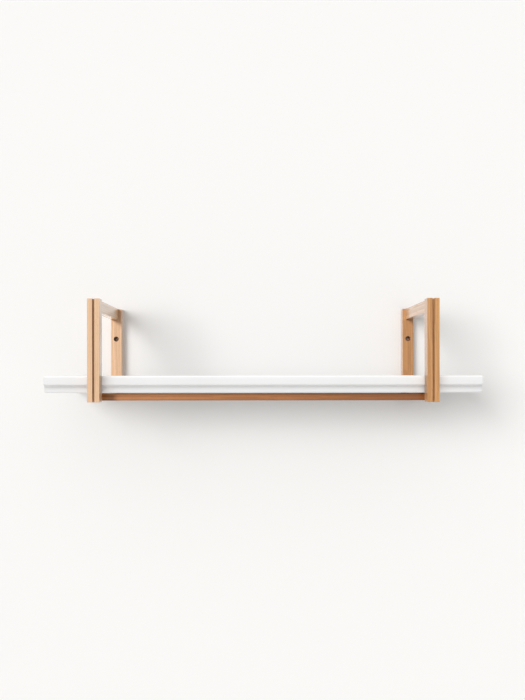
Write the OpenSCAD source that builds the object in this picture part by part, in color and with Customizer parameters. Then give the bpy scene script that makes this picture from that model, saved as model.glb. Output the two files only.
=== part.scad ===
// Wall rack: two wooden side frames on the wall carry a folded steel shelf, and a
// wooden rail ties the frames together under it. Millimetres. +X is right, +Y runs
// to the wall and +Z is up. The origin lies on the wall, midway between the two
// wall holes.

/* [Side frames] */
// Width over both side frames
rack_w = 576; // [400:1:620]
// Height of a side frame
frame_h = 170; // [150:1:240]
// Depth of a side frame, from the wall to its front face
frame_d = 250; // [200:1:300]
// Width of every post
post_w = 20; // [18:0.5:26]
// Depth of a front post
front_post_d = 24; // [20:0.5:30]
// Depth of a rear post
rear_post_d = 18; // [16:0.5:24]
// Width of the top and bottom beams, flush with the outside of the posts
beam_w = 14; // [13:0.5:17]
// Height of a top beam
top_beam_h = 20; // [16:0.5:26]
// Height of a bottom beam
bottom_beam_h = 14.5; // [14:0.5:18]
// Height of a bottom beam above the feet of the posts
bottom_beam_lift = 1.5; // [0:0.5:4]

/* [Front groove] */
// Width of the groove down the front of a front post
groove_w = 3.2; // [2:0.1:5]
// Depth of that groove
groove_d = 7; // [2:0.5:9]

/* [Wall holes] */
// Distance from the top of the frame down to a wall hole
wall_hole_drop = 57; // [40:1:80]
// Diameter of a wall screw's hole
wall_hole_dia = 5; // [4:0.5:6]
// Diameter of the recess for the screw's head
head_recess_dia = 9.5; // [8:0.5:12]
// Depth of that recess
head_recess_d = 12; // [4:0.5:13]

/* [Shelf] */
// Length of the shelf over its end caps
shelf_len = 731; // [640:1:900]
// Height of the shelf's section
shelf_h = 26; // [24:0.5:34]
// Height of the upper front face, above the step
fascia_h = 13.5; // [12:0.5:16]
// Thickness of the sheet steel
sheet_t = 1.2; // [1:0.1:1.5]
// Radius of a bend, to the middle of the sheet
bend_r = 0.9; // [0.8:0.1:1.5]
// Radius of the hollow bend under the step
step_r = 5; // [3:0.5:6]
// Width of the flange turned in along each lower edge
return_w = 9; // [6:0.5:14]
// Gap between the shelf and the front posts
front_gap = 0.5; // [0.3:0.1:2]
// Gap between the shelf and the rear posts
rear_gap = 1; // [0.5:0.1:3]
// Thickness of an end cap's plate
cap_t = 2; // [1.5:0.1:3]
// Depth of an end cap's plug inside the shelf
cap_plug_d = 9; // [6:0.5:14]
// Width of a support channel inside the shelf
channel_w = 17; // [15:0.5:20]

/* [Cross rail] */
// Height of the cross rail
rail_h = 12; // [10:0.5:13]
// Depth of the cross rail
rail_d = 18; // [16:0.5:24]
// Distance from the frame's front face back to the rail's front face
rail_setback = 46; // [30:1:120]

/* [Fixings] */
// Diameter of the frame dowels
dowel_dia = 6; // [5:0.5:6]
// Length of a frame dowel
dowel_len = 24; // [18:1:26]
// Diameter of the rail's dowels
rail_dowel_dia = 5; // [4:0.5:6]
// Diameter of the rail's screws
rail_screw_dia = 4; // [3:0.5:4]
// Length of a rail screw's shank
rail_screw_len = 32; // [28:1:40]
// Diameter of the shelf screws
shelf_screw_dia = 4; // [3:0.5:4]
// Distance of the shelf screws from the shelf's front and back
shelf_screw_inset = 52; // [48:1:70]

/* [Hidden] */

LEFT = -1;
RIGHT = 1;
SIDES = [LEFT, RIGHT];
wood_colour = [0.80, 0.58, 0.38];
dowel_colour = [0.87, 0.73, 0.52];
steel_white = [0.95, 0.95, 0.95];
plated_colour = [0.74, 0.74, 0.72];
$fn = 48;
eps = 0.01;                 // overlap of a cutting tool past a face
glue_gap = 0.05;            // radial room for glue round a dowel

// heights, from the two wall holes at z = 0
frame_top = wall_hole_drop;
frame_foot = frame_top - frame_h;
beam_foot = frame_foot + bottom_beam_lift;
shelf_foot = beam_foot + bottom_beam_h;
shelf_top = shelf_foot + shelf_h;

// depths, from the wall at y = 0
frame_front = -frame_d;
front_post_back = frame_front + front_post_d;
rear_post_front = -rear_post_d;
beam_len = rear_post_front - front_post_back;
shelf_front = front_post_back + front_gap;
shelf_back = rear_post_front - rear_gap;
rail_front = frame_front + rail_setback;

// widths, from the middle of the rack at x = 0
frame_outer = rack_w / 2;
post_x = frame_outer - post_w / 2;
beam_x = frame_outer - beam_w / 2;
beam_inner = frame_outer - beam_w;
panel_len = shelf_len - 2 * cap_t;

// fixings
top_dowel_pitch = top_beam_h - 2 * dowel_dia + 2;
screw_head_dia = 7.5;
screw_head_h = 2.4;
head_room = 0.5;            // room round a screw's head
shank_room = 0.25;          // radial room round a screw's shank
rail_fixing_pitch = rail_d / 2;
rail_fixing_z = frame_foot + bottom_beam_lift + rail_h / 2;
rail_mid_y = rail_front + rail_d / 2;
rail_head_d = 5;            // depth of the recess for a rail screw's head
shelf_head_d = 4.5;         // depth of the recess for a shelf screw's head
shelf_screw_len = 17;
nut_body_dia = 6;
nut_flange_dia = 9;
nut_flange_t = 0.8;
nut_body_len = 9;
drive_dia = 2.6;            // across the screws' socket
drive_d = 1.3;
shelf_screw_rows = [shelf_front + shelf_screw_inset, shelf_back - shelf_screw_inset];

// ---- small shapes ------------------------------------------------------------

// A rod along +Y from y = 0
module rod_y(dia, len) rotate([-90, 0, 0]) cylinder(d = dia, h = len);

// A rod along +X from x = 0, turned to -X where side is LEFT
module rod_x(dia, len, side) rotate([0, side * 90, 0]) cylinder(d = dia, h = len);

// A box given by its lowest and highest corners
module span(low, high) translate(low) cube(high - low);

// A box on one side, given for the right side and mirrored for the left
module side_span(side, low, high) {
    if (side == RIGHT) span(low, high);
    else span([-high[0], low[1], low[2]], [-low[0], high[1], high[2]]);
}

// Heights of the dowels in a top joint, and the height of the one in a bottom joint
function top_dowel_heights() = [
    for (k = [-1, 1]) frame_top - top_beam_h / 2 + k * top_dowel_pitch / 2
];
bottom_dowel_z = beam_foot + bottom_beam_h / 2;
function joint_heights() = concat(top_dowel_heights(), [bottom_dowel_z]);

// The dowels of one frame, or their holes where extra is the room round them
module frame_dowel_set(side, extra) {
    for (y = [front_post_back, rear_post_front], z = joint_heights())
        translate([side * beam_x, y - dowel_len / 2 - extra, z])
            rod_y(dowel_dia + 2 * extra, dowel_len + 2 * extra);
}

// ---- side frames -------------------------------------------------------------

module front_post(side) {
    color(wood_colour) difference() {
        side_span(side, [frame_outer - post_w, frame_front, frame_foot],
                  [frame_outer, front_post_back, frame_top]);
        side_span(side, [post_x - groove_w / 2, frame_front - eps, frame_foot - eps],
                  [post_x + groove_w / 2, frame_front + groove_d, frame_top + eps]);
        frame_dowel_set(side, glue_gap);
    }
}

module rear_post(side) {
    color(wood_colour) difference() {
        side_span(side, [frame_outer - post_w, rear_post_front, frame_foot],
                  [frame_outer, 0, frame_top]);
        translate([side * post_x, rear_post_front - eps, 0])
            rod_y(head_recess_dia, head_recess_d + eps);
        translate([side * post_x, rear_post_front, 0])
            rod_y(wall_hole_dia, rear_post_d + eps);
        frame_dowel_set(side, glue_gap);
    }
}

module top_beam(side) {
    color(wood_colour) difference() {
        side_span(side, [beam_inner, front_post_back, frame_top - top_beam_h],
                  [frame_outer, rear_post_front, frame_top]);
        frame_dowel_set(side, glue_gap);
    }
}

module bottom_beam(side) {
    color(wood_colour) difference() {
        side_span(side, [beam_inner, front_post_back, beam_foot],
                  [frame_outer, rear_post_front, shelf_foot]);
        frame_dowel_set(side, glue_gap);
        rail_screw_hole(side);
        rail_dowel_set(glue_gap);
        for (y = shelf_screw_rows) translate([side * beam_x, y, 0]) shelf_screw_hole();
    }
}

module frame_dowels(side) {
    color(dowel_colour) frame_dowel_set(side, 0);
}

// ---- cross rail --------------------------------------------------------------

// The rail's dowels, one at each end, or their holes
module rail_dowel_set(extra) {
    len = dowel_len - 4 + 2 * extra;
    for (side = SIDES)
        translate([side * (beam_inner + 9 + extra), rail_mid_y + rail_fixing_pitch / 2, rail_fixing_z])
            rod_x(rail_dowel_dia + 2 * extra, len, -side);
}

// The stepped hole through a bottom beam for the rail's screw
module rail_screw_hole(side) {
    translate([side * (frame_outer + eps), rail_mid_y - rail_fixing_pitch / 2, rail_fixing_z]) {
        rod_x(screw_head_dia + 2 * head_room, rail_head_d + eps, -side);
        rod_x(rail_screw_dia + 2 * shank_room, beam_w + 2 * eps, -side);
    }
}

module cross_rail() {
    color(wood_colour) difference() {
        span([-beam_inner, rail_front, beam_foot], [beam_inner, rail_front + rail_d, beam_foot + rail_h]);
        rail_dowel_set(glue_gap);
        for (side = SIDES)
            translate([side * (beam_inner + eps), rail_mid_y - rail_fixing_pitch / 2, rail_fixing_z])
                rod_x(rail_screw_dia, rail_screw_len - (beam_w - rail_head_d) + 1, -side);
    }
}

module rail_dowels() {
    color(dowel_colour) rail_dowel_set(0);
}

// A screw along +Z: the shank runs up from z = 0 and the head lies below it
module screw(dia, len) {
    difference() {
        union() {
            translate([0, 0, -screw_head_h]) cylinder(d = screw_head_dia, h = screw_head_h);
            cylinder(d = dia, h = len - dia / 2);
            translate([0, 0, len - dia / 2]) cylinder(d1 = dia, d2 = dia / 4, h = dia / 2);
        }
        translate([0, 0, -screw_head_h - eps]) cylinder(d = drive_dia, h = drive_d + eps);
    }
}

module rail_screws() {
    color(plated_colour) for (side = SIDES)
        translate([side * (frame_outer - rail_head_d), rail_mid_y - rail_fixing_pitch / 2, rail_fixing_z])
            rotate([0, -side * 90, 0]) screw(rail_screw_dia, rail_screw_len);
}

// ---- shelf -------------------------------------------------------------------

// Bends of the sheet, from the rear flange round to the front flange. Each holds the
// bend's centre in y and z, its radius, its first and last angle, and +1 where the
// sheet turns round its inside or -1 where it turns round its outside.
sheet_mid_front = shelf_front + sheet_t / 2;
sheet_mid_back = shelf_back - sheet_t / 2;
sheet_mid_top = shelf_top - sheet_t / 2;
sheet_mid_foot = shelf_foot + sheet_t / 2;
ledge_z = shelf_top - fascia_h + sheet_t / 2;
lip_y = sheet_mid_front + bend_r + step_r;
SHEET_BENDS = [
    [sheet_mid_back - bend_r, sheet_mid_foot + bend_r, bend_r, -90, 0, 1],
    [sheet_mid_back - bend_r, sheet_mid_top - bend_r, bend_r, 0, 90, 1],
    [sheet_mid_front + bend_r, sheet_mid_top - bend_r, bend_r, 90, 180, 1],
    [sheet_mid_front + bend_r, ledge_z + bend_r, bend_r, 180, 270, 1],
    [lip_y - step_r, ledge_z - step_r, step_r, 90, 0, -1],
    [lip_y + bend_r, sheet_mid_foot + bend_r, bend_r, 180, 270, 1]
];
BEND_STEPS = 6;

// Points along one face of the sheet: face is +1 for the outside, -1 for the inside
function sheet_face(face) = [
    for (b = SHEET_BENDS, k = [0 : BEND_STEPS])
        let (a = b[3] + (b[4] - b[3]) * k / BEND_STEPS, r = b[2] + face * b[5] * sheet_t / 2)
            [b[0] + r * cos(a), b[1] + r * sin(a)]
];
function reversed(list) = [for (k = [len(list) - 1 : -1 : 0]) list[k]];

// Outline of the folded sheet: outer face, front flange's end, inner face, rear flange's end
module sheet_section() {
    rear_end = shelf_back - return_w;
    front_end = lip_y - sheet_t / 2 + return_w;
    polygon(concat(
        [[rear_end, shelf_foot]], sheet_face(1), [[front_end, shelf_foot]],
        [[front_end, shelf_foot + sheet_t]], reversed(sheet_face(-1)), [[rear_end, shelf_foot + sheet_t]]
    ));
}

// Extrude a section drawn in y and z along +X, centred on x = 0
module along_x(len) rotate([90, 0, 90]) linear_extrude(height = len, center = true) children();

module shelf_panel() {
    color(steel_white) along_x(panel_len) sheet_section();
}

// A plate over the shelf's open end, with a ring that plugs into the section
module end_cap(side) {
    room = 0.3;
    wall = 1.8;
    plug_low = [lip_y + sheet_t / 2 + room, shelf_foot + sheet_t + room];
    plug_high = [shelf_back - sheet_t - room, ledge_z - sheet_t / 2 + fascia_h - sheet_t - room];
    plate_x = panel_len / 2;
    color(steel_white) union() {
        translate([side * (plate_x + cap_t / 2), 0, 0]) along_x(cap_t) polygon(sheet_face(1));
        difference() {
            side_span(side, [plate_x - cap_plug_d, plug_low[0], plug_low[1]],
                      [plate_x + eps, plug_high[0], plug_high[1]]);
            side_span(side, [plate_x - cap_plug_d - eps, plug_low[0] + wall, plug_low[1] + wall],
                      [plate_x, plug_high[0] - wall, plug_high[1] - wall]);
        }
    }
}

// A channel across the shelf over a bottom beam: it carries the rivet nuts
module shelf_channel(side) {
    room = 0.2;
    low_y = lip_y - sheet_t / 2 + return_w + room;
    high_y = shelf_back - return_w - room;
    top_z = shelf_top - sheet_t;
    half = channel_w / 2;
    color(steel_white) difference() {
        side_span(side, [beam_x - half, low_y, shelf_foot], [beam_x + half, high_y, top_z]);
        side_span(side, [beam_x - half + sheet_t, low_y - eps, shelf_foot + sheet_t],
                  [beam_x + half - sheet_t, high_y + eps, top_z + eps]);
        for (y = shelf_screw_rows)
            translate([side * beam_x, y, shelf_foot - eps])
                cylinder(d = nut_body_dia + 2 * glue_gap, h = sheet_t + 2 * eps);
    }
}

// The stepped hole up through a bottom beam, with a recess for the rivet nut's flange
module shelf_screw_hole() {
    translate([0, 0, beam_foot - eps]) {
        cylinder(d = screw_head_dia + 2 * head_room, h = shelf_head_d + eps);
        cylinder(d = shelf_screw_dia + 2 * shank_room, h = bottom_beam_h + 2 * eps);
    }
    translate([0, 0, shelf_foot - nut_flange_t - 0.1])
        cylinder(d = nut_flange_dia + head_room, h = nut_flange_t + 0.1 + eps);
}

module shelf_screws() {
    color(plated_colour) for (side = SIDES, y = shelf_screw_rows)
        translate([side * beam_x, y, beam_foot + shelf_head_d]) screw(shelf_screw_dia, shelf_screw_len);
}

module rivet_nuts() {
    color(plated_colour) for (side = SIDES, y = shelf_screw_rows)
        translate([side * beam_x, y, shelf_foot]) difference() {
            union() {
                translate([0, 0, -nut_flange_t]) cylinder(d = nut_flange_dia, h = nut_flange_t);
                cylinder(d = nut_body_dia, h = nut_body_len);
                translate([0, 0, sheet_t]) cylinder(d = nut_body_dia + 1.6, h = 2);
            }
            translate([0, 0, -nut_flange_t - eps])
                cylinder(d = shelf_screw_dia + 2 * glue_gap, h = nut_flange_t + nut_body_len + 2 * eps);
        }
}

// ---- nodes -------------------------------------------------------------------

front_post(LEFT);  // left_front_post
rear_post(LEFT);  // left_rear_post
top_beam(LEFT);  // left_top_beam
bottom_beam(LEFT);  // left_bottom_beam
frame_dowels(LEFT);  // left_frame_dowels
front_post(RIGHT);  // right_front_post
rear_post(RIGHT);  // right_rear_post
top_beam(RIGHT);  // right_top_beam
bottom_beam(RIGHT);  // right_bottom_beam
frame_dowels(RIGHT);  // right_frame_dowels
cross_rail();
rail_dowels();
rail_screws();
shelf_panel();
end_cap(LEFT);  // left_end_cap
end_cap(RIGHT);  // right_end_cap
shelf_channel(LEFT);  // left_shelf_channel
shelf_channel(RIGHT);  // right_shelf_channel
shelf_screws();
rivet_nuts();
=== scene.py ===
"""Looks of a wall rack: two oiled wood side frames, a folded white steel shelf and a wooden cross rail.

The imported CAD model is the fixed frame. Each wooden member is a copy of its node with eased
edges and its own grain, the shelf is folded again from its section with finer bends, and the
fixings are turned pieces set at the places of their nodes. A pale wall, a pale floor and soft
lamps make up the studio. Lengths are in metres.
"""

import logging
import math
from dataclasses import dataclass
from enum import Enum
from typing import Sequence, Union

import bmesh
import bpy
from mathutils import Matrix, Vector


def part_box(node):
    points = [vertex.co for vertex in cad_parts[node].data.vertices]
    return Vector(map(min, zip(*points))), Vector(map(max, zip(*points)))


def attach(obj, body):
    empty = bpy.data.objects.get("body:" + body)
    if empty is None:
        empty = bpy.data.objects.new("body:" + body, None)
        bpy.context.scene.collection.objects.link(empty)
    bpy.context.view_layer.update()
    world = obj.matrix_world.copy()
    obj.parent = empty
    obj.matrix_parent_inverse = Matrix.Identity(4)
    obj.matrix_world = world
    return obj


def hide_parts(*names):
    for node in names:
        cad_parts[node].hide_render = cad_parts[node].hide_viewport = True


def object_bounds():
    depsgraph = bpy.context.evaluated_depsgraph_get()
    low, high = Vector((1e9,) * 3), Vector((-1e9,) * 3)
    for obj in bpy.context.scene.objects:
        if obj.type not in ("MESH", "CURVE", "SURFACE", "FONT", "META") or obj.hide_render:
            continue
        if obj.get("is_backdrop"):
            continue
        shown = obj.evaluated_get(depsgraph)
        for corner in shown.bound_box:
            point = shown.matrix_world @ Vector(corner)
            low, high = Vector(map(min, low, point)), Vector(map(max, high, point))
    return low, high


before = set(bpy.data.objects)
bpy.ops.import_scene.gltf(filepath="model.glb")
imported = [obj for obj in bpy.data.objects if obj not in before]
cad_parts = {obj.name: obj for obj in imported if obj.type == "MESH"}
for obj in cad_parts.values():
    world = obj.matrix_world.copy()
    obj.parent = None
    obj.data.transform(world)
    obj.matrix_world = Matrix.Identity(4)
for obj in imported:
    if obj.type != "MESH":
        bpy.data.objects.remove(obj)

LOG = logging.getLogger("wall_rack")
ROOT = "root"
MM = 0.001
Colour = tuple[float, float, float]
Point = tuple[float, float, float]
Ring = tuple[float, float, bool]
SocketName = Union[str, int]
SocketValue = Union[bpy.types.NodeSocket, float, Sequence[float]]

# Points closer than this are one point, and faces that bend less than this are one face.
SAME_POINT = 0.001 * MM
SAME_PLANE = math.radians(0.5)
# Faces across a rounded edge, and how far the large faces rule the shading beside it.
EASE_SEGMENTS = 3
FLAT_WEIGHT = 100
# A sawn end's normal leans at least this much along the grain.
END_FACING = 0.75
# A flat face's normal leans at least this much along x, y or z. A rounded edge's leans less.
FLAT_FACING = 0.985


class Side(Enum):
    """The two halves of the rack, with the sign of their x."""

    LEFT = -1
    RIGHT = 1

    @property
    def word(self) -> str:
        """The word that starts this half's node names."""
        return self.name.lower()


class Grain(Enum):
    """The axis that a member's grain runs along, as an index into x, y and z."""

    X = 0
    Y = 1
    Z = 2


# ---- node trees --------------------------------------------------------------


def put_value(tree: bpy.types.NodeTree, socket: bpy.types.NodeSocket, value: object) -> None:
    """Link a socket to another socket, or set its constant.

    Args:
        tree: The tree that both are in.
        socket: The input socket.
        value: The output socket to link, or the constant.
    """
    if isinstance(value, bpy.types.NodeSocket):
        tree.links.new(value, socket)
    else:
        socket.default_value = value


def new_node(
    tree: bpy.types.NodeTree, kind: str, values: dict[SocketName, object], **settings: object
) -> bpy.types.Node:
    """Add one node to a tree.

    Args:
        tree: The tree.
        kind: The node's type in full.
        values: Input sockets by name or number, with a constant or a socket to link.
        **settings: Properties of the node itself.

    Returns:
        The new node.
    """
    node = tree.nodes.new(kind)
    for name, setting in settings.items():
        setattr(node, name, setting)
    for name, value in values.items():
        put_value(tree, node.inputs[name], value)
    return node


class ShaderGraph:
    """A material's node tree, built up one call at a time."""

    def __init__(self, name: str) -> None:
        """Start a material with a Principled shader.

        Args:
            name: The material's name.
        """
        self.material = bpy.data.materials.new(name)
        self.material.use_nodes = True
        self.tree = self.material.node_tree
        self.tree.nodes.clear()
        self.output = self.tree.nodes.new("ShaderNodeOutputMaterial")
        self.shader = self.tree.nodes.new("ShaderNodeBsdfPrincipled")
        self.tree.links.new(self.shader.outputs[0], self.output.inputs["Surface"])

    def add(self, kind: str, values: dict[SocketName, SocketValue], **settings: object) -> bpy.types.Node:
        """Return a new node. The kind leaves out its ShaderNode prefix."""
        return new_node(self.tree, "ShaderNode" + kind, values, **settings)

    def shade(self, **values: SocketValue) -> None:
        """Set inputs of the Principled shader.

        Args:
            **values: Constants or sockets by input name, with an underscore for each space.
        """
        for name, value in values.items():
            put_value(self.tree, self.shader.inputs[name.replace("_", " ")], value)

    def math(self, operation: str, first: SocketValue, second: SocketValue = 0.0) -> bpy.types.NodeSocket:
        """Return the result of a Math node."""
        return self.add("Math", {0: first, 1: second}, operation=operation).outputs[0]

    def fit(
        self, value: SocketValue, low: float, high: float, to_low: float, to_high: float
    ) -> bpy.types.NodeSocket:
        """Return a value carried smoothly from one range to another, and held at its ends."""
        sockets = {"Value": value, "From Min": low, "From Max": high, "To Min": to_low, "To Max": to_high}
        return self.add("MapRange", sockets, interpolation_type="SMOOTHSTEP").outputs["Result"]

    def mix(
        self, factor: SocketValue, first: SocketValue, second: SocketValue, mode: str = "MIX"
    ) -> bpy.types.NodeSocket:
        """Return the blend of two colours."""
        node = self.add("Mix", {0: factor, 6: first, 7: second}, data_type="RGBA", blend_type=mode)
        return node.outputs[2]

    def noise(self, vector: SocketValue, scale: float = 1.0, detail: float = 2.0) -> bpy.types.NodeSocket:
        """Return a noise value from 0 to 1 at a vector."""
        sockets = {"Vector": vector, "Scale": scale, "Detail": detail, "Roughness": 0.55}
        return self.add("TexNoise", sockets).outputs["Fac"]

    def stretch(self, vector: SocketValue, scale: Sequence[float]) -> bpy.types.NodeSocket:
        """Return a vector scaled along each axis."""
        return self.add("VectorMath", {0: vector, 1: scale}, operation="MULTIPLY").outputs[0]

    def bump(self, height: SocketValue, strength: float, depth: float) -> bpy.types.NodeSocket:
        """Return a normal from a height, with the depth in metres."""
        sockets = {"Height": height, "Strength": strength, "Distance": depth}
        return self.add("Bump", sockets).outputs["Normal"]

    def object_place(self) -> bpy.types.NodeSocket:
        """Return the Object coordinates."""
        return self.add("TexCoord", {}).outputs["Object"]

    def attribute(self, name: str) -> bpy.types.NodeSocket:
        """Return a piece's own attribute as a value."""
        return self.add("Attribute", {}, attribute_name=name).outputs["Fac"]


class ShapeTree:
    """A Geometry Nodes tree with named inputs, run once on an object."""

    def __init__(self, name: str) -> None:
        """Start an empty tree whose first input and output are geometry.

        Args:
            name: The tree's name.
        """
        self.tree = bpy.data.node_groups.new(name, "GeometryNodeTree")
        sockets = self.tree.interface
        sockets.new_socket(name="Geometry", in_out="INPUT", socket_type="NodeSocketGeometry")
        sockets.new_socket(name="Geometry", in_out="OUTPUT", socket_type="NodeSocketGeometry")
        self.values: dict[str, object] = {}
        self.start = self.tree.nodes.new("NodeGroupInput")
        self.end = self.tree.nodes.new("NodeGroupOutput")

    def ask(self, name: str, kind: str, value: object) -> bpy.types.NodeSocket:
        """Add a named input and its value.

        Args:
            name: The input's name.
            kind: The socket's type, without the NodeSocket prefix.
            value: What the modifier is given for it.

        Returns:
            The socket that carries the input inside the tree.
        """
        item = self.tree.interface.new_socket(name=name, in_out="INPUT", socket_type="NodeSocket" + kind)
        self.values[item.identifier] = value
        return self.start.outputs[name]

    def add(self, kind: str, values: dict[SocketName, object], **settings: object) -> bpy.types.Node:
        """Return a new node. The kind is given in full."""
        return new_node(self.tree, kind, values, **settings)

    def finish(self, shape: bpy.types.NodeSocket, material: bpy.types.Material) -> None:
        """End the tree in Realize Instances and Set Material.

        Args:
            shape: The socket that carries the finished shape.
            material: What the shape is dressed in.
        """
        dressed = self.ask("Finish", "Material", material)
        real = self.add("GeometryNodeRealizeInstances", {"Geometry": shape})
        last = self.add("GeometryNodeSetMaterial", {"Geometry": real.outputs[0], "Material": dressed})
        self.tree.links.new(last.outputs[0], self.end.inputs[0])

    def run(self, seed: bpy.types.Object, name: str) -> bpy.types.Object:
        """Run the tree on a seed object and return the result as a plain mesh.

        Args:
            seed: The object that the tree starts from. It is removed.
            name: The new piece's name.

        Returns:
            The new piece, which has no modifier.
        """
        modifier = seed.modifiers.new(self.tree.name, "NODES")
        modifier.node_group = self.tree
        for identifier, value in self.values.items():
            modifier[identifier] = value
        piece = settled(seed, name)
        bpy.data.node_groups.remove(self.tree)
        return piece


# ---- meshes ------------------------------------------------------------------


def linked(mesh: bpy.types.Mesh, name: str) -> bpy.types.Object:
    """Put a mesh in the scene.

    Args:
        mesh: The mesh.
        name: The new object's name.

    Returns:
        The new object.
    """
    piece = bpy.data.objects.new(name, mesh)
    bpy.context.scene.collection.objects.link(piece)
    return piece


def settled(draft: bpy.types.Object, name: str) -> bpy.types.Object:
    """Turn a draft and its modifiers into a plain mesh piece.

    Args:
        draft: The object to evaluate. It is removed.
        name: The new piece's name.

    Returns:
        The new piece.
    """
    bpy.context.view_layer.update()
    graph = bpy.context.evaluated_depsgraph_get()
    mesh = bpy.data.meshes.new_from_object(draft.evaluated_get(graph), depsgraph=graph)
    mesh.name = name
    bpy.data.objects.remove(draft)
    return linked(mesh, name)


def merged_copy(node: str) -> bpy.types.Object:
    """Copy a CAD node, with its points merged and its flat faces joined.

    Args:
        node: The node's name.

    Returns:
        The copy, which has no material.
    """
    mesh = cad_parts[node].data.copy()
    mesh.materials.clear()
    shape = bmesh.new()
    shape.from_mesh(mesh)
    bmesh.ops.remove_doubles(shape, verts=shape.verts, dist=SAME_POINT)
    bmesh.ops.dissolve_limit(shape, angle_limit=SAME_PLANE, verts=shape.verts, edges=shape.edges)
    shape.to_mesh(mesh)
    shape.free()
    for attribute in [a for a in mesh.attributes if a.name.startswith("custom_normal")]:
        mesh.attributes.remove(attribute)
    return linked(mesh, node + "_draft")


def eased(draft: bpy.types.Object, name: str, radius: float, sharp: float = 35.0) -> bpy.types.Object:
    """Round a draft's sharp edges.

    Args:
        draft: The object to round. It is removed.
        name: The new piece's name.
        radius: Width of the rounding.
        sharp: The least bend in degrees that counts as an edge.

    Returns:
        The rounded piece, smooth over its edges and flat on its faces.
    """
    draft.data.shade_smooth()
    bevel = draft.modifiers.new("ease", "BEVEL")
    bevel.width = radius
    bevel.segments = EASE_SEGMENTS
    bevel.limit_method = "ANGLE"
    bevel.angle_limit = math.radians(sharp)
    bevel.miter_outer = "MITER_ARC"
    weighted = draft.modifiers.new("flat_faces", "WEIGHTED_NORMAL")
    weighted.weight = FLAT_WEIGHT
    return settled(draft, name)


def mark_ends(piece: bpy.types.Object, grain: Grain) -> None:
    """Write end_grain on the faces that cut across the grain, and eased_edge on the rounded edges.

    Args:
        piece: The wooden member.
        grain: The axis of its grain.
    """
    mesh = piece.data
    ends = mesh.attributes.new("end_grain", "FLOAT", "FACE")
    edges = mesh.attributes.new("eased_edge", "FLOAT", "FACE")
    for face in mesh.polygons:
        along = abs(face.normal[grain.value])
        squarest = max(abs(part) for part in face.normal)
        ends.data[face.index].value = float(along > END_FACING)
        edges.data[face.index].value = float(squarest < FLAT_FACING)


def mark_bore(piece: bpy.types.Object, reach: float = 5.2 * MM, skin: float = 0.8 * MM) -> None:
    """Write bore on the faces inside a rear post's wall hole, which the finish paints darker, partly as
    painted shade.

    Args:
        piece: The post. Its hole's axis runs along y at the middle of its width, at z = 0.
        reach: How far from the axis the faces may lie.
        skin: How deep a face's middle lies before it counts as inside.
    """
    mesh = piece.data
    inside = mesh.attributes.new("bore", "FLOAT", "FACE")
    xs = [point.co.x for point in mesh.vertices]
    ys = [point.co.y for point in mesh.vertices]
    middle = (min(xs) + max(xs)) / 2
    front, back = min(ys) + skin, max(ys) - skin
    for face in mesh.polygons:
        near = math.hypot(face.center.x - middle, face.center.z) < reach
        inside.data[face.index].value = float(near and front < face.center.y < back)


def turned(name: str, rings: Sequence[Ring], steps: int = 30, sharp: float = 38.0) -> bpy.types.Object:
    """Make a turned solid about +Z from a list of rings.

    Args:
        name: The piece's name.
        rings: Radius, height and True for a hexagon of that apothem, from one pole to the other.
        steps: Points round a ring, a multiple of six.
        sharp: The least bend in degrees that shows as an edge.

    Returns:
        The closed solid.
    """
    sixth = math.pi / 3
    shape = bmesh.new()
    loops = []
    for radius, height, hexagonal in rings:
        loop = []
        for k in range(steps):
            turn = 2 * math.pi * k / steps
            reach = radius / math.cos((turn % sixth) - sixth / 2) if hexagonal else radius
            loop.append(shape.verts.new((reach * math.cos(turn), reach * math.sin(turn), height)))
        loops.append(loop)
    for low, high in zip(loops, loops[1:]):
        for k in range(steps):
            shape.faces.new((low[k - 1], low[k], high[k], high[k - 1]))
    shape.faces.new(list(reversed(loops[0])))
    shape.faces.new(loops[-1])
    bmesh.ops.recalc_face_normals(shape, faces=shape.faces)
    mesh = bpy.data.meshes.new(name)
    shape.to_mesh(mesh)
    shape.free()
    mesh.shade_smooth()
    mesh.set_sharp_from_angle(angle=math.radians(sharp))
    return linked(mesh, name)


def hand_over(piece: bpy.types.Object, slot: str, *nodes: str) -> None:
    """Fix a finished piece to the rack and say which nodes it stands for.

    Args:
        piece: The piece.
        slot: The name of its finish. It is not used.
        *nodes: The CAD nodes that it replaces.
    """
    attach(piece, ROOT)
    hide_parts(*nodes)
    LOG.info("%s: %d faces, stands for %s", piece.name, len(piece.data.polygons), ", ".join(nodes))


def dress_node(node: str, material: bpy.types.Material) -> None:
    """Give a CAD node that stays as it is its finish.

    Args:
        node: The node's name.
        material: The finish.
    """
    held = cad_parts[node].data.materials
    held.clear()
    held.append(material)
    LOG.info("%s: kept from the CAD model, %s", node, material.name)


# ---- finishes ----------------------------------------------------------------


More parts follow.
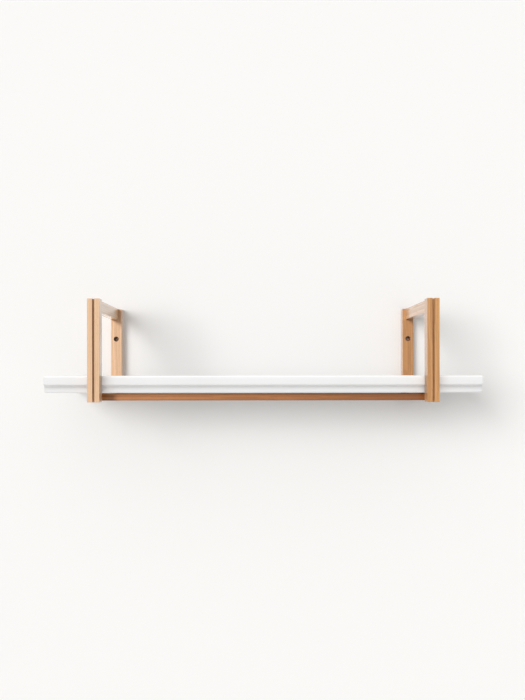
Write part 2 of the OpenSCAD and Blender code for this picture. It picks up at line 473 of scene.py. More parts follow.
@dataclass(frozen=True)
class OiledWood:
    """Straight-grained hardwood under a satin oil.

    Attributes:
        grain: The axis that the grain runs along.
        body: The member's mean colour.
        shift: Where in the tree the member was cut, so that no two look alike.
        darkening: How much darker the member is painted for each metre along its grain, as painted light
            falloff.
        figure: How strongly the rings show, from 0 to 1.
    """

    grain: Grain
    body: Colour
    shift: Point
    darkening: float = 0.0
    figure: float = 0.4

    # The body colour is multiplied by these.
    PALE = (1.20, 1.22, 1.26)
    DEEP = (0.80, 0.74, 0.66)
    LATE = (0.70, 0.60, 0.50)
    PORE = (0.46, 0.38, 0.30)
    WORN = (1.3, 1.32, 1.36)
    # Inside the wall hole: darker bored wood, deepened with painted shade.
    BORE = (0.44, 0.32, 0.22)
    SAWN = (0.74, 0.70, 0.66)
    SAWN_RING = tuple(0.8 * part for part in SAWN)
    # Painted light falloff: the lit end and the shaded end of a member.
    SAPWOOD = (1.34, 1.42, 1.5, 1.0)
    HEARTWOOD = (0.66, 0.56, 0.45, 1.0)

    # Patterns in a metre, along the grain and twice across it.
    BROAD_BANDS = (1.6, 70.0, 70.0)
    RING_BANDS = (0.9, 430.0, 430.0)
    LATE_LINES = (0.7, 1150.0, 1150.0)
    FIBRES = (34.0, 3800.0, 3800.0)
    PORE_DASHES = (150.0, 2900.0, 2900.0)
    PORE_DOTS = (0.0, 3600.0, 3600.0)
    SWAY = (5.0, 12.0, 12.0)
    END_WARP = (0.0, 90.0, 90.0)
    END_RINGS = 2300.0

    def material(self, name: str) -> bpy.types.Material:
        """Make the finish.

        Args:
            name: The material's name.

        Returns:
            The material.
        """
        graph = ShaderGraph(name)
        place = self._grain_space(graph)
        broad = graph.noise(graph.stretch(place, self.BROAD_BANDS), detail=3.0)
        rings = graph.noise(graph.stretch(place, self.RING_BANDS), detail=2.0)
        late = graph.noise(graph.stretch(place, self.LATE_LINES), detail=1.0)
        fibre = graph.noise(graph.stretch(place, self.FIBRES), detail=2.0)
        dashes = graph.noise(graph.stretch(place, self.PORE_DASHES), detail=1.0)
        pores = graph.fit(dashes, 0.62, 0.74, 0.0, 1.0)

        growth = graph.math("ADD", graph.math("MULTIPLY", rings, 0.6), graph.math("MULTIPLY", broad, 0.4))
        calm = 0.25 * (1.0 - self.figure)
        season = graph.fit(growth, 0.40, 0.60, calm, 1.0 - calm)
        side = graph.mix(season, self._shade(self.PALE), self._shade(self.DEEP))
        side = graph.mix(graph.fit(late, 0.56, 0.70, 0.0, self.figure), side, self._shade(self.LATE))
        side = graph.mix(graph.fit(fibre, 0.3, 0.7, 0.0, 0.25), side, self._shade(self.PALE))
        side = graph.mix(graph.math("MULTIPLY", pores, 0.6), side, self._shade(self.PORE))

        colour = graph.mix(graph.attribute("end_grain"), side, self._end_grain(graph, place))
        worn = graph.math("MULTIPLY", graph.attribute("eased_edge"), graph.fit(broad, 0.4, 0.65, 0.1, 0.45))
        colour = graph.mix(worn, colour, self._shade(self.WORN))
        # Painted shade and darker bored wood inside the wall hole.
        colour = graph.mix(graph.attribute("bore"), colour, self._shade(self.BORE))
        # Painted light falloff along the member.
        if self.darkening:
            colour = self._darkened(graph, colour)

        height = graph.math("SUBTRACT", graph.math("MULTIPLY", fibre, 0.35), pores)
        graph.shade(
            Base_Color=colour,
            Roughness=graph.fit(fibre, 0.25, 0.75, 0.42, 0.58),
            Specular_IOR_Level=0.25,
            IOR=1.48,
            Coat_Weight=1.0,
            Coat_IOR=1.6,
            Coat_Roughness=0.12,
            Normal=graph.bump(height, 0.3, 0.05 * MM),
        )
        return graph.material

    def _shade(self, factors: Colour) -> tuple[float, float, float, float]:
        """Return the body colour times a factor for each channel, with alpha."""
        return (*(min(1.0, part * factor) for part, factor in zip(self.body, factors)), 1.0)

    def _grain_space(self, graph: ShaderGraph) -> bpy.types.NodeSocket:
        """Turn the member's coordinates so that the first runs along the grain, and let them waver.

        Args:
            graph: The material's nodes.

        Returns:
            The coordinates in metres.
        """
        moved = graph.add("Mapping", {"Vector": graph.object_place(), "Location": self.shift}).outputs[0]
        parts = graph.add("SeparateXYZ", {0: moved}).outputs
        order = [parts[(self.grain.value + k) % 3] for k in range(3)]
        lined = graph.add("CombineXYZ", {0: order[0], 1: order[1], 2: order[2]}).outputs[0]
        sway = graph.math("MULTIPLY", graph.noise(graph.stretch(lined, self.SWAY)), 9.0 * MM)
        offset = graph.add("CombineXYZ", {0: 0.0, 1: sway, 2: sway}).outputs[0]
        return graph.add("VectorMath", {0: lined, 1: offset}, operation="ADD").outputs[0]

    def _end_grain(self, graph: ShaderGraph, place: bpy.types.NodeSocket) -> bpy.types.NodeSocket:
        """Colour a sawn end with curved growth rings and round pores.

        Args:
            graph: The material's nodes.
            place: Coordinates along the grain.

        Returns:
            The colour.
        """
        warp = graph.noise(graph.stretch(place, self.END_WARP), detail=2.0)
        parts = graph.add("SeparateXYZ", {0: place}).outputs
        across = graph.math("ADD", parts[2], graph.math("MULTIPLY", parts[1], 0.35))
        turns = graph.math("MULTIPLY", across, self.END_RINGS)
        ring = graph.math("ADD", turns, graph.math("MULTIPLY", warp, 7.0))
        wave = graph.fit(graph.math("SINE", ring), -0.2, 1.0, 0.0, 1.0)
        dots = graph.noise(graph.stretch(place, self.PORE_DOTS), detail=1.0)
        pores = graph.fit(dots, 0.58, 0.70, 0.0, 0.7)
        rings = graph.mix(wave, self._shade(self.SAWN), self._shade(self.SAWN_RING))
        return graph.mix(pores, rings, self._shade(self.PORE))

    def _darkened(self, graph: ShaderGraph, colour: bpy.types.NodeSocket) -> bpy.types.NodeSocket:
        """Paint a slow light falloff along the member, paler towards its lower end along the grain and darker
        towards the other.

        Args:
            graph: The material's nodes.
            colour: The colour so far.

        Returns:
            The changed colour.
        """
        along = graph.add("SeparateXYZ", {0: graph.object_place()}).outputs[self.grain.value]
        reach = 0.5 * self.darkening
        share = graph.fit(along, -0.5, 0.5, 0.5 - reach, 0.5 + reach)
        pale = graph.mix(1.0, colour, self.SAPWOOD, "MULTIPLY")
        deep = graph.mix(1.0, colour, self.HEARTWOOD, "MULTIPLY")
        return graph.mix(share, pale, deep)


@dataclass(frozen=True)
class PowderCoat:
    """White powder coat on steel: satin, with the faint ripple of a baked coat.

    Attributes:
        colour: The coat's colour.
        ripple: Width of one ripple.
        clouding: How much of the colour is left where the coat is thin.
    """

    colour: Colour = (0.86, 0.863, 0.868)
    ripple: float = 0.9 * MM
    clouding: float = 0.965

    def material(self, name: str) -> bpy.types.Material:
        """Make the finish.

        Args:
            name: The material's name.

        Returns:
            The material.
        """
        graph = ShaderGraph(name)
        place = graph.object_place()
        peel = graph.noise(place, 1.0 / self.ripple, 2.0)
        cloud = graph.noise(place, 9.0, 3.0)
        thin = (*(part * self.clouding for part in self.colour), 1.0)
        colour = graph.mix(graph.fit(cloud, 0.3, 0.7, 0.0, 1.0), (*self.colour, 1.0), thin)
        graph.shade(
            Base_Color=colour,
            Roughness=graph.fit(cloud, 0.3, 0.7, 0.36, 0.44),
            IOR=1.5,
            Coat_Weight=0.25,
            Coat_Roughness=0.30,
            Normal=graph.bump(peel, 0.12, 0.05 * MM),
        )
        return graph.material


@dataclass(frozen=True)
class MouldedPlastic:
    """White plastic with the fine even texture of its mould.

    Attributes:
        colour: The plastic's colour.
        texture: Width of one grain of the texture.
        clouding: How much of the colour is left along the flow lines.
    """

    colour: Colour = (0.84, 0.843, 0.845)
    texture: float = 0.35 * MM
    clouding: float = 0.97

    def material(self, name: str) -> bpy.types.Material:
        """Make the finish.

        Args:
            name: The material's name.

        Returns:
            The material.
        """
        graph = ShaderGraph(name)
        place = graph.object_place()
        spark = graph.noise(place, 1.0 / self.texture, 1.0)
        flow = graph.noise(place, 22.0, 2.0)
        shaded = (*(part * self.clouding for part in self.colour), 1.0)
        graph.shade(
            Base_Color=graph.mix(graph.fit(flow, 0.3, 0.7, 0.0, 1.0), (*self.colour, 1.0), shaded),
            Roughness=graph.fit(spark, 0.2, 0.8, 0.46, 0.56),
            IOR=1.49,
            Normal=graph.bump(spark, 0.18, 0.03 * MM),
        )
        return graph.material


@dataclass(frozen=True)
class ZincPlate:
    """Bright zinc on the screws and rivet nuts, a little clouded.

    Attributes:
        colour: The zinc's colour where it is bright.
        cloud: Its colour where it is dull.
    """

    colour: Colour = (0.66, 0.67, 0.68)
    cloud: Colour = (0.50, 0.51, 0.50)

    def material(self, name: str) -> bpy.types.Material:
        """Make the finish.

        Args:
            name: The material's name.

        Returns:
            The material.
        """
        graph = ShaderGraph(name)
        place = graph.object_place()
        haze = graph.fit(graph.noise(place, 420.0, 3.0), 0.35, 0.7, 0.0, 1.0)
        scratch = graph.noise(graph.stretch(place, (900.0, 5200.0, 900.0)), detail=1.0)
        graph.shade(
            Base_Color=graph.mix(haze, (*self.colour, 1.0), (*self.cloud, 1.0)),
            Metallic=1.0,
            Roughness=graph.fit(haze, 0.0, 1.0, 0.24, 0.42),
            Normal=graph.bump(scratch, 0.1, 0.02 * MM),
        )
        return graph.material


# ---- sub-assemblies ----------------------------------------------------------


BEECH: Colour = (0.64, 0.45, 0.25)


@dataclass
class SideFrame:
    """One wooden side frame: two posts, two beams and the dowels inside their joints.

    Attributes:
        side: Which half of the rack it is.
        ease: Width of the rounding on the members' edges.
    """

    side: Side
    ease: float = 0.6 * MM

    MEMBERS = {
        "front_post": Grain.Z, "rear_post": Grain.Z, "top_beam": Grain.Y, "bottom_beam": Grain.Y,
    }
    # The members' mean colours, in the order above. The left frame's are paler and greyer and the right
    # frame's deeper, partly as painted sheen and painted light from the left, partly as different timber.
    BODIES = {
        Side.LEFT: ((0.70, 0.45, 0.265), (0.77, 0.49, 0.295), (0.74, 0.48, 0.285), (0.68, 0.43, 0.25)),
        Side.RIGHT: ((0.57, 0.29, 0.109), (0.505, 0.245, 0.091), (0.61, 0.36, 0.20), (0.52, 0.27, 0.11)),
    }
    FIGURES = {Side.LEFT: 0.25, Side.RIGHT: 0.7}

    def build(self) -> None:
        """Make and dress the four members, and dress the dowels."""
        for number, (member, grain) in enumerate(self.MEMBERS.items()):
            node = f"{self.side.word}_{member}"
            piece = eased(merged_copy(node), node + "_lath", self.ease)
            mark_ends(piece, grain)
            if member == "rear_post":
                mark_bore(piece)
            half = self.side.value
            shift = (0.37 * number + 0.11 * half, 0.23 * number, 0.19 * (number + half))
            # The colour holds painted sheen and light from the left as well as the timber's tone.
            finish = OiledWood(grain, self.BODIES[self.side][number], shift, figure=self.FIGURES[self.side])
            piece.data.materials.append(finish.material(node + "_oiled_wood"))
            hand_over(piece, "oiled_wood", node)
        beech = OiledWood(Grain.Y, BEECH, (0.5 * self.side.value, 0.1, 0.2))
        dress_node(f"{self.side.word}_frame_dowels", beech.material(f"{self.side.word}_dowel_beech"))


@dataclass
class CrossRail:
    """The rail that ties the frames together, with its two dowels.

    Attributes:
        ease: Width of the rounding on the rail's edges.
        body: The rail's mean colour.
        darkening: How much darker it is painted for each metre towards the right, as painted light falloff
            from the left.
        figure: How strongly its rings show.
    """

    ease: float = 0.6 * MM
    body: Colour = (0.35, 0.130, 0.034)
    darkening: float = 1.05
    figure: float = 1.0

    def build(self) -> None:
        """Make and dress the rail, and dress its dowels."""
        piece = eased(merged_copy("cross_rail"), "cross_rail_lath", self.ease)
        mark_ends(piece, Grain.X)
        finish = OiledWood(Grain.X, self.body, (0.2, 0.7, 0.4), self.darkening, self.figure)
        piece.data.materials.append(finish.material("cross_rail_oiled_wood"))
        hand_over(piece, "oiled_wood", "cross_rail")
        beech = OiledWood(Grain.X, BEECH, (0.3, 0.1, 0.6))
        dress_node("rail_dowels", beech.material("rail_dowel_beech"))


@dataclass
class SteelShelf:
    """The folded shelf with its end caps and the two channels inside it.

    Attributes:
        sheet: Gauge of the steel.
        outer_bend: Radius of the outer bends.
        step_bend: Radius of the bend from the ledge into the lower face.
        fascia: Height of the upper face.
        step: How far the lower face lies behind the upper one.
        flange: Width of the flanges under the shelf.
        bend_steps: Points round each bend.
        sharp: The least bend in degrees that shows as an edge.
        join: Points of the folded sheet that are closer than this become one.
        small_ease: Width of the rounding on the caps and channels.
    """

    sheet: float = 1.2 * MM
    outer_bend: float = 1.5 * MM
    step_bend: float = 4.4 * MM
    fascia: float = 13.5 * MM
    step: float = 5.9 * MM
    flange: float = 9.0 * MM
    bend_steps: int = 10
    sharp: float = 30.0
    join: float = 0.01 * MM
    small_ease: float = 0.3 * MM

    def build(self) -> list[bpy.types.Object]:
        """Fold and dress the shelf, then its caps and channels.

        Returns:
            All the white pieces.
        """
        coat = PowderCoat().material("white_powder_coat")
        plastic = MouldedPlastic().material("white_moulded_plastic")
        panel = self._fold(coat)
        hand_over(panel, "white_steel", "shelf_panel")
        pieces = [panel]
        for side in Side:
            pieces.append(self._pressing(f"{side.word}_end_cap", "moulding", "white_plastic", plastic))
            pieces.append(self._pressing(f"{side.word}_shelf_channel", "folded", "white_steel", coat))
        return pieces

    def _pressing(self, node: str, ending: str, slot: str, material: bpy.types.Material) -> bpy.types.Object:
        """Make one of the smaller white pieces.

        Args:
            node: The CAD node that it replaces.
            ending: What is added to the node's name.
            slot: The name of its finish.
            material: The finish.

        Returns:
            The piece, dressed and handed over.
        """
        piece = eased(merged_copy(node), f"{node}_{ending}", self.small_ease)
        piece.data.materials.append(material)
        hand_over(piece, slot, node)
        return piece

    def _corners(self) -> list[Point]:
        """Find the outer corners of the section.

        Returns:
            The corners as y, z and bend radius, from the rear flange over the top to the front one.
        """
        low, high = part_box("shelf_panel")
        front, back, foot, top = low[1], high[1], low[2], high[2]
        lip = front + self.step
        ledge = top - self.fascia
        bend = self.outer_bend
        return [
            (back - self.flange, foot, 0.0), (back, foot, bend), (back, top, bend), (front, top, bend),
            (front, ledge, bend), (lip, ledge, self.step_bend), (lip, foot, bend),
            (lip + self.flange, foot, 0.0),
        ]

    def _fold(self, coat: bpy.types.Material) -> bpy.types.Object:
        """Bend the section, draw it along x and thicken it inwards.

        Args:
            coat: The finish.

        Returns:
            The folded sheet.
        """
        low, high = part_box("shelf_panel")
        corners = self._corners()
        mesh = bpy.data.meshes.new("shelf_section")
        runs = [(k, k + 1) for k in range(len(corners) - 1)]
        mesh.from_pydata([(low[0], y, z) for y, z, _ in corners], runs, [])
        radii = mesh.attributes.new("bend_radius", "FLOAT", "POINT")
        for k, (_, _, radius) in enumerate(corners):
            radii.data[k].value = radius
        tree = ShapeTree("fold_sheet")
        length = tree.ask("Length", "Float", high[0] - low[0])
        gauge = tree.ask("Sheet", "Float", self.sheet)
        steps = tree.ask("Bend Steps", "Int", self.bend_steps)
        path = tree.add("GeometryNodeMeshToCurve", {"Mesh": tree.start.outputs["Geometry"]})
        radius = tree.add("GeometryNodeInputNamedAttribute", {"Name": "bend_radius"}, data_type="FLOAT")
        bent = tree.add(
            "GeometryNodeFilletCurve",
            {"Curve": path.outputs[0], "Count": steps, "Radius": radius.outputs["Attribute"]},
            mode="POLY",
        )
        line = tree.add("GeometryNodeCurveToMesh", {"Curve": bent.outputs[0]})
        reach = tree.add("ShaderNodeCombineXYZ", {"X": length})
        skin = tree.add(
            "GeometryNodeExtrudeMesh",
            {"Mesh": line.outputs[0], "Offset": reach.outputs[0], "Offset Scale": 1.0},
            mode="EDGES",
        )
        inward = tree.add("ShaderNodeMath", {0: gauge, 1: -1.0}, operation="MULTIPLY")
        walls = tree.add(
            "GeometryNodeExtrudeMesh",
            {"Mesh": skin.outputs["Mesh"], "Offset Scale": inward.outputs[0], "Individual": False},
            mode="FACES",
        )
        inside = tree.add("GeometryNodeFlipFaces", {"Mesh": walls.outputs["Mesh"]})
        both = tree.add("GeometryNodeJoinGeometry", {})
        for shell in (inside.outputs[0], skin.outputs["Mesh"]):
            put_value(tree.tree, both.inputs[0], shell)
        closed = tree.add("GeometryNodeMergeByDistance", {"Geometry": both.outputs[0], "Distance": self.join})
        tree.finish(closed.outputs[0], coat)
        piece = tree.run(linked(mesh, "shelf_section"), "shelf_panel_folded")
        tidy_normals(piece, self.join / 2)
        piece.data.shade_smooth()
        piece.data.set_sharp_from_angle(angle=math.radians(self.sharp))
        return piece


def tidy_normals(piece: bpy.types.Object, reach: float) -> None:
    """Merge a closed shell's doubles and point all its faces outwards.

    Args:
        piece: The shell.
        reach: Points closer than this become one.
    """
    shape = bmesh.new()
    shape.from_mesh(piece.data)
    bmesh.ops.remove_doubles(shape, verts=shape.verts, dist=reach)
    bmesh.ops.recalc_face_normals(shape, faces=shape.faces)
    shape.to_mesh(piece.data)
    shape.free()


@dataclass
class Fixings:
    """The screws and rivet nuts, turned once and set at each place.

    Attributes:
        shank: Radius of a screw's shank.
        head: Radius of its head.
        head_height: Height of its head, with the dome.
        dome: Height of the dome.
        edge: Width of the chamfer under the head.
        socket: Apothem of the hexagon socket.
        socket_depth: Depth of the socket.
        pitch: Pitch of the thread.
        thread: Depth of the thread.
        shelf_plain: Length of a shelf screw's shank that has no thread.
        rail_length: Length of a rail screw's shank.
        rail_plain: Length of it that has no thread.
        nut_flange: Radius of a rivet nut's flange.
        nut_sill: Thickness of the flange.
        nut_body: Radius of the nut's body.
        nut_bore: Radius of the hole through it.
        bulge_start: From the flange to the bulge that grips the channel.
        bulge_out: How far the bulge stands out.
        bulge_ends: From the bulge's start to where it is full, where it narrows and where it ends.
    """

    shank: float = 2.0 * MM
    head: float = 3.75 * MM
    head_height: float = 2.4 * MM
    dome: float = 1.2 * MM
    edge: float = 0.2 * MM
    socket: float = 1.25 * MM
    socket_depth: float = 1.4 * MM
    pitch: float = 0.7 * MM
    thread: float = 0.22 * MM
    shelf_plain: float = 3.0 * MM
    rail_length: float = 32.0 * MM
    rail_plain: float = 8.0 * MM
    nut_flange: float = 4.5 * MM
    nut_sill: float = 0.8 * MM
    nut_body: float = 3.0 * MM
    nut_bore: float = 2.05 * MM
    bulge_start: float = 1.2 * MM
    bulge_out: float = 0.8 * MM
    bulge_ends: tuple[float, ...] = (0.3 * MM, 1.7 * MM, 2.0 * MM)

    def build(self) -> None:
        """Make the shelf screws, the rail screws and the rivet nuts."""
        zinc = ZincPlate().material("zinc_plate")
        self._shelf_screws(zinc)
        self._rail_screws(zinc)
        self._rivet_nuts(zinc)

    def _screw(self, name: str, length: float, plain: float) -> bpy.types.Object:
        """Turn one screw along +Z, its head below z = 0.

        Args:
            name: The piece's name.
            length: Length of the shank.
            plain: Length of the shank that has no thread.

        Returns:
            The screw.
        """
        crown = -self.head_height
        rings: list[Ring] = [(self.socket, crown + self.socket_depth, True), (self.socket, crown, True)]
        for slope in (math.radians(degrees) for degrees in (60, 40, 20, 0)):
            rings.append((self.head * math.cos(slope), crown + self.dome * (1 - math.sin(slope)), False))
        rings += [(self.head, -self.edge, False), (self.head - self.edge, 0.0, False)]
        rings += [(self.shank, 0.0, False), (self.shank, plain, False)]
        height = plain
        while height + self.pitch < length - self.shank:
            rings.append((self.shank - self.thread, height + self.pitch / 2, False))
            height += self.pitch
            rings.append((self.shank, height, False))
        rings.append((self.shank / 3, length, False))
        return turned(name, rings)

    def _set_at(
        self,
        template: bpy.types.Object,
        places: list[Point],
        axes: list[Point],
        name: str,
        zinc: bpy.types.Material,
    ) -> bpy.types.Object:
        """Set a template at each place, turned to its axis.

        Args:
            template: The piece along +Z. It is removed.
            places: Where each copy's z = 0 goes.
            axes: The way each copy's +Z points.
            name: The new piece's name.
            zinc: The finish.

        Returns:
            All the copies as one piece.
        """
        mesh = bpy.data.meshes.new(name + "_places")
        mesh.from_pydata(places, [], [])
        ways = mesh.attributes.new("way", "FLOAT_VECTOR", "POINT")
        for k, axis in enumerate(axes):
            ways.data[k].vector = axis
        tree = ShapeTree("set_fixings")
        fixing = tree.ask("Fixing", "Object", template)
        way = tree.add("GeometryNodeInputNamedAttribute", {"Name": "way"}, data_type="FLOAT_VECTOR")
        turn = tree.add("FunctionNodeAlignRotationToVector", {"Vector": way.outputs["Attribute"]}, axis="Z")
        points = tree.add("GeometryNodeMeshToPoints", {"Mesh": tree.start.outputs["Geometry"]})
        shape = tree.add("GeometryNodeObjectInfo", {"Object": fixing})
        copies = tree.add(
            "GeometryNodeInstanceOnPoints",
            {"Points": points.outputs[0], "Instance": shape.outputs["Geometry"], "Rotation": turn.outputs[0]},
        )
        tree.finish(copies.outputs[0], zinc)
        piece = tree.run(linked(mesh, name + "_places"), name)
        bpy.data.objects.remove(template)
        return piece

    def _shelf_screws(self, zinc: bpy.types.Material) -> None:
        """Set the four screws that hold the shelf, pointing up.

        Args:
            zinc: The finish.
        """
        low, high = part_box("shelf_screws")
        beams = [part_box(f"{side.word}_bottom_beam") for side in Side]
        head_z = low[2] + self.head_height
        rows = (low[1] + self.head, high[1] - self.head)
        places = [((a[0] + b[0]) / 2, y, head_z) for a, b in beams for y in rows]
        screw = self._screw("shelf_screw", high[2] - head_z, self.shelf_plain)
        piece = self._set_at(screw, places, [(0, 0, 1)] * len(places), "shelf_screw_set", zinc)
        hand_over(piece, "plated_steel", "shelf_screws")

    def _rail_screws(self, zinc: bpy.types.Material) -> None:
        """Set the two screws that hold the rail, pointing inwards.

        Args:
            zinc: The finish.
        """
        low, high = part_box("rail_screws")
        across, up = (low[1] + high[1]) / 2, (low[2] + high[2]) / 2
        reach = high[0] - self.head_height
        places = [(side.value * reach, across, up) for side in Side]
        axes = [(-side.value, 0, 0) for side in Side]
        screw = self._screw("rail_screw", self.rail_length, self.rail_plain)
        piece = self._set_at(screw, places, axes, "rail_screw_set", zinc)
        hand_over(piece, "plated_steel", "rail_screws")

    def _rivet_nuts(self, zinc: bpy.types.Material) -> None:
        """Set the four rivet nuts in the channels, flanges down.

        Args:
            zinc: The finish.
        """
        low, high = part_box("rivet_nuts")
        channels = [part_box(f"{side.word}_shelf_channel") for side in Side]
        top = high[2] - low[2]
        body, bulge = self.nut_body, self.nut_sill + self.bulge_start
        swell, shrink, end = (bulge + height for height in self.bulge_ends)
        outline = [
            (self.nut_bore, top), (self.nut_bore, 0.0), (self.nut_flange, 0.0),
            (self.nut_flange, self.nut_sill), (body, self.nut_sill), (body, bulge),
            (body + self.bulge_out, swell), (body + self.bulge_out, shrink), (body, end), (body, top),
        ]
        rings: list[Ring] = [(radius, height, False) for radius, height in outline]
        rows = (low[1] + self.nut_flange, high[1] - self.nut_flange)
        places = [((a[0] + b[0]) / 2, y, low[2]) for a, b in channels for y in rows]
        nut = ring_closed(turned("rivet_nut", rings))
        piece = self._set_at(nut, places, [(0, 0, 1)] * len(places), "rivet_nut_set", zinc)
        hand_over(piece, "plated_steel", "rivet_nuts")


def ring_closed(piece: bpy.types.Object) -> bpy.types.Object:
    """Swap a turned solid's two end discs for the strip that makes it a tube.

    Args:
        piece: The solid, which is changed.

    Returns:
        The same piece.
    """
    shape = bmesh.new()
    shape.from_mesh(piece.data)
    discs = [face for face in shape.faces if len(face.verts) > 4]
    rims = [edge for face in discs for edge in face.edges]
    bmesh.ops.delete(shape, geom=discs, context="FACES_ONLY")
    bmesh.ops.bridge_loops(shape, edges=rims)
    bmesh.ops.recalc_face_normals(shape, faces=shape.faces)
    shape.to_mesh(piece.data)
    shape.free()
    return piece


# ---- studio ------------------------------------------------------------------


@dataclass(frozen=True)
class Lamp:
    """One soft lamp of the studio.

    Attributes:
        name: What it lights.
        way: The direction that its light goes.
        spread: Its angular size in degrees.
        strength: Its strength in W/m2.
        bounces: How often its light is passed on by what it meets.
    """

    name: str
    way: Point
    spread: float
    strength: float
    bounces: int = 0

    def build(self, lit: Sequence[bpy.types.Object], spared: Sequence[bpy.types.Object]) -> None:
        """Put the lamp in the scene.

        Args:
            lit: The only pieces that it lights, or none for all.
            spared: Pieces that it doesn't light.
        """
        lamp = bpy.data.objects.new(self.name, bpy.data.lights.new(self.name, "SUN"))
        bpy.context.scene.collection.objects.link(lamp)
        lamp.data.energy = self.strength
        lamp.data.angle = math.radians(self.spread)
        lamp.data.cycles.max_bounces = self.bounces
        lamp.rotation_mode = "QUATERNION"
        lamp.rotation_quaternion = Vector(self.way).to_track_quat("-Z", "Y")
        chosen = bpy.data.collections.new(self.name + "_receivers")
        for piece in (*lit, *spared):
            chosen.objects.link(piece)
        lamp.light_linking.receiver_collection = chosen
        if spared:
            for entry in chosen.collection_objects:
                entry.light_linking.link_state = "EXCLUDE"


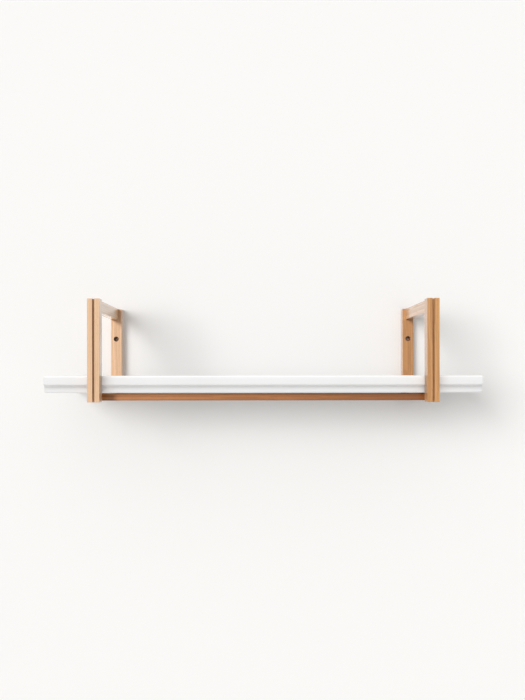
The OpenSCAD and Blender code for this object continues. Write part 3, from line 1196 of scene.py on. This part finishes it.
@dataclass
class Studio:
    """The camera, the lamps, and a pale wall and floor to show the rack against.

    Attributes:
        stand_off: From the camera to the rack's front.
        aside: The camera's x.
        eye_above_foot: The camera's height above the rack's foot.
        lens: Focal length in mm.
        shift: How far the frame is moved, as a share of its longer side.
        roll: How far the camera leans.
        wall_gap: From the rack's back to the wall.
        wall_top: Height of the wall.
        floor_drop: How far down the floor is.
        reach: How far the wall and the floor go to each side.
        daylight: Strength of the light that comes from all round.
        backdrop: Brightness of what shows beyond the wall and the floor.
    """

    stand_off: float = 1.388
    aside: float = -0.0145
    eye_above_foot: float = 0.0469
    lens: float = 43.71
    shift: tuple[float, float] = (0.0114, 0.0336)
    roll: float = math.radians(0.08)
    wall_gap: float = 0.5 * MM
    wall_top: float = 5.0
    floor_drop: float = 1.2
    reach: float = 6.0
    daylight: float = 0.42
    backdrop: float = 0.86
    # Each kind of piece has its own lamps.
    wall_lamps: tuple[Lamp, ...] = (
        Lamp("wall_window", (0.46, 1.0, -0.13), 26.0, 1.08, 1),
        Lamp("wall_side_window", (0.62, 1.0, -0.28), 26.0, 0.72, 1),
        Lamp("wall_fill", (0.0, 1.0, -0.45), 90.0, 0.46, 1),
    )
    wood_lamps: tuple[Lamp, ...] = (
        Lamp("wood_window", (0.43, 1.0, -0.25), 14.0, 2.2, 2),
        Lamp("wood_from_wall", (0.35, -1.0, 0.0), 150.0, 2.7),
    )
    white_lamps: tuple[Lamp, ...] = (
        Lamp("white_soft", (0.15, 1.0, -1.0), 50.0, 2.35),
        Lamp("white_from_below", (0.1, 0.3, 1.0), 40.0, 0.85),
        Lamp("white_from_wall", (0.1, -1.0, 0.0), 150.0, 1.1),
    )
    floor_lamps: tuple[Lamp, ...] = (Lamp("floor_soft", (0.0, 0.3, -1.0), 120.0, 2.4),)

    SENSOR_WIDTH = 36.0
    WALL_PAINT = (0.885, 0.879, 0.868, 1.0)
    FLOOR_PAINT = (0.80, 0.79, 0.775, 1.0)
    DAYLIGHT_COLOUR = (1.0, 0.995, 0.985, 1.0)
    BACKDROP_COLOUR = (1.0, 0.99, 0.975, 1.0)

    def build(self, white: Sequence[bpy.types.Object]) -> None:
        """Set up everything that isn't part of the rack.

        Args:
            white: The white pieces.
        """
        self._camera()
        wall = self._wall()
        floor = self._floor()
        self._world()
        for lamp in self.wall_lamps:
            lamp.build([wall], [])
        for lamp in self.wood_lamps:
            lamp.build([], [wall, floor, *white])
        for lamp in self.white_lamps:
            lamp.build(white, [])
        for lamp in self.floor_lamps:
            lamp.build([floor], [])
        settings = bpy.context.scene.view_settings
        settings.view_transform = "Standard"
        settings.look = "None"

    def _camera(self) -> None:
        """Place the camera straight in front, level with the shelf."""
        low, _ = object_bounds()
        data = bpy.data.cameras.new("front_view")
        data.lens = self.lens
        data.sensor_width = self.SENSOR_WIDTH
        data.shift_x, data.shift_y = self.shift
        camera = bpy.data.objects.new("front_view", data)
        bpy.context.scene.collection.objects.link(camera)
        turn = Matrix.Rotation(self.roll, 4, "Y") @ Matrix.Rotation(math.radians(90), 4, "X")
        place = Vector((self.aside, low[1] - self.stand_off, low[2] + self.eye_above_foot))
        camera.matrix_world = Matrix.Translation(place) @ turn
        bpy.context.scene.camera = camera

    def _sheet(self, name: str, points: Sequence[Point], graph: ShaderGraph) -> bpy.types.Object:
        """Stage a flat sheet.

        Args:
            name: The sheet's name.
            points: Its four corners, in order.
            graph: Its material's nodes.

        Returns:
            The sheet.
        """
        mesh = bpy.data.meshes.new(name)
        mesh.from_pydata(points, [], [(0, 1, 2, 3)])
        mesh.materials.append(graph.material)
        sheet = linked(mesh, name)
        sheet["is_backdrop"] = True
        return sheet

    def _wall(self) -> bpy.types.Object:
        """Put up the wall, which shows from the front and neither hides nor shades the rack from behind.

        Returns:
            The wall.
        """
        graph = ShaderGraph("pale_wall_paint")
        graph.shade(Base_Color=self.WALL_PAINT, Roughness=0.9, Specular_IOR_Level=0.1)
        clear = graph.add("BsdfTransparent", {})
        behind = graph.add("NewGeometry", {}).outputs["Backfacing"]
        shown = graph.add("MixShader", {0: behind, 1: graph.shader.outputs[0], 2: clear.outputs[0]})
        put_value(graph.tree, graph.output.inputs["Surface"], shown.outputs[0])
        half, y, high, low = self.reach, self.wall_gap, self.wall_top, -self.floor_drop
        corners = [(-half, y, low), (half, y, low), (half, y, high), (-half, y, high)]
        wall = self._sheet("wall", corners, graph)
        for ray in ("diffuse", "transmission", "volume_scatter", "shadow"):
            setattr(wall, "visible_" + ray, False)
        return wall

    def _floor(self) -> bpy.types.Object:
        """Lay the pale floor, well below the rack.

        Returns:
            The floor.
        """
        graph = ShaderGraph("pale_floor")
        graph.shade(Base_Color=self.FLOOR_PAINT, Roughness=0.8)
        half, z = self.reach, -self.floor_drop
        corners = [(-half, -half, z), (half, -half, z), (half, half, z), (-half, half, z)]
        floor = self._sheet("floor", corners, graph)
        floor.visible_shadow = False
        return floor

    def _world(self) -> None:
        """Fill the room with even daylight, and show a paler backdrop beyond the wall and the floor."""
        world = bpy.data.worlds.new("daylight")
        world.use_nodes = True
        tree = world.node_tree
        light = tree.nodes["Background"]
        put_value(tree, light.inputs["Color"], self.DAYLIGHT_COLOUR)
        put_value(tree, light.inputs["Strength"], self.daylight)
        shown = {"Color": self.BACKDROP_COLOUR, "Strength": self.backdrop}
        seen = new_node(tree, "ShaderNodeBackground", shown)
        direct = new_node(tree, "ShaderNodeLightPath", {}).outputs["Is Camera Ray"]
        shares = {0: direct, 1: light.outputs[0], 2: seen.outputs[0]}
        both = new_node(tree, "ShaderNodeMixShader", shares)
        put_value(tree, tree.nodes["World Output"].inputs["Surface"], both.outputs[0])
        bpy.context.scene.world = world


def main() -> None:
    """Build the rack and its studio."""
    logging.basicConfig(level=logging.INFO, format="%(name)s %(message)s")
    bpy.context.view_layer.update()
    for side in Side:
        SideFrame(side).build()
    CrossRail().build()
    white = SteelShelf().build()
    Fixings().build()
    Studio().build(white)


if __name__ == "__main__":
    main()
